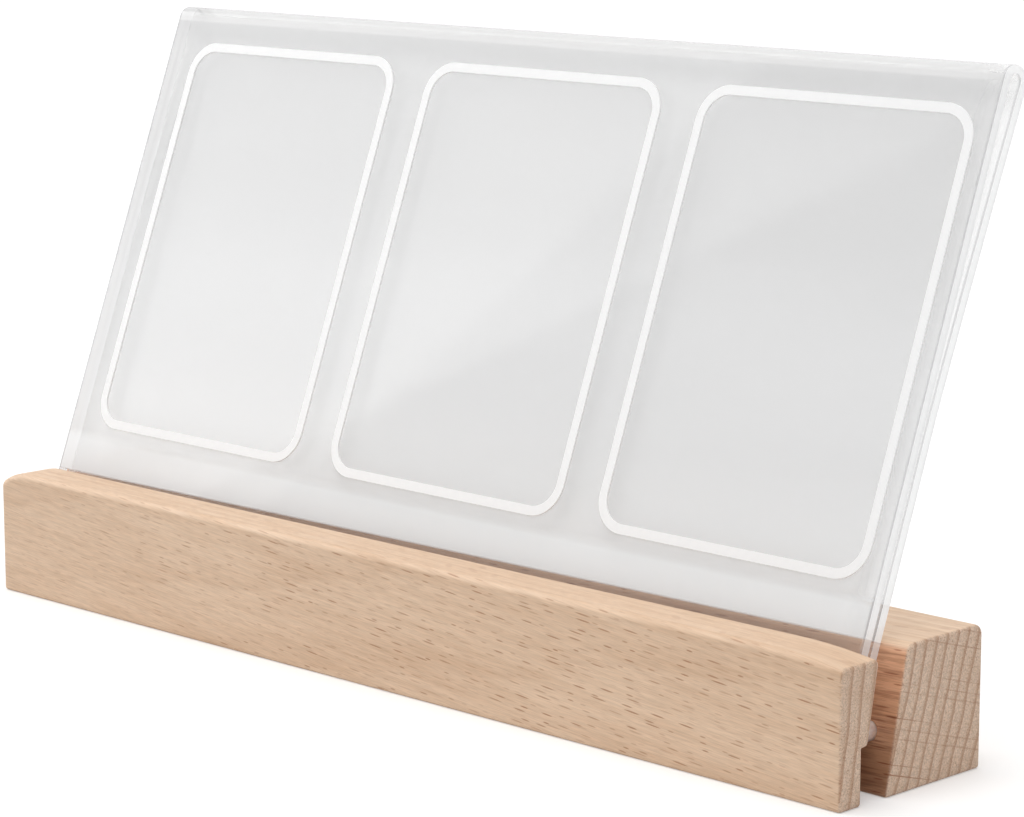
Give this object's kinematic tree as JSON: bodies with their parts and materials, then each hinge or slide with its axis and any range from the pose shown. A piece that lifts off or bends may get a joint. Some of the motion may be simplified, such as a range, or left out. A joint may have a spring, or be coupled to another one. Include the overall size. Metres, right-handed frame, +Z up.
{
  "type": "instant photo frame",
  "caption": "Desk frame for small instant prints: a clear folded sleeve with white picture outlines leans back in a slot between two beech bars.",
  "frame": {"origin": "middle of the base's footprint, on the face that it stands on", "axes": "+X along the base to the viewer's right, +Y to the rear, +Z up; the viewer is at -Y"},
  "size_m": [0.172, 0.0411, 0.0912],
  "materials": {
    "slat_beech": "sanded bare beech, long grain, matt",
    "block_beech": "sanded bare beech, long grain, matt",
    "pin_steel": "plain drawn steel",
    "clear_sheet": "clear, glossy, slightly milky",
    "white_ink": "white screen-printed line"
  },
  "bodies": {
    "base": {"front_slat": "slat_beech", "rear_block": "block_beech", "pin_left": "pin_steel", "pin_right": "pin_steel"},
    "sleeve": {"photo_sleeve": "clear_sheet", "outline_left": "white_ink", "outline_middle": "white_ink", "outline_right": "white_ink"}
  },
  "joints": [
    {"name": "sleeve_lift", "type": "slide", "parent": "base", "child": "sleeve", "axis": [0, 0.3534, 0.9355], "range_m": [0, 0.03]}
  ]
}
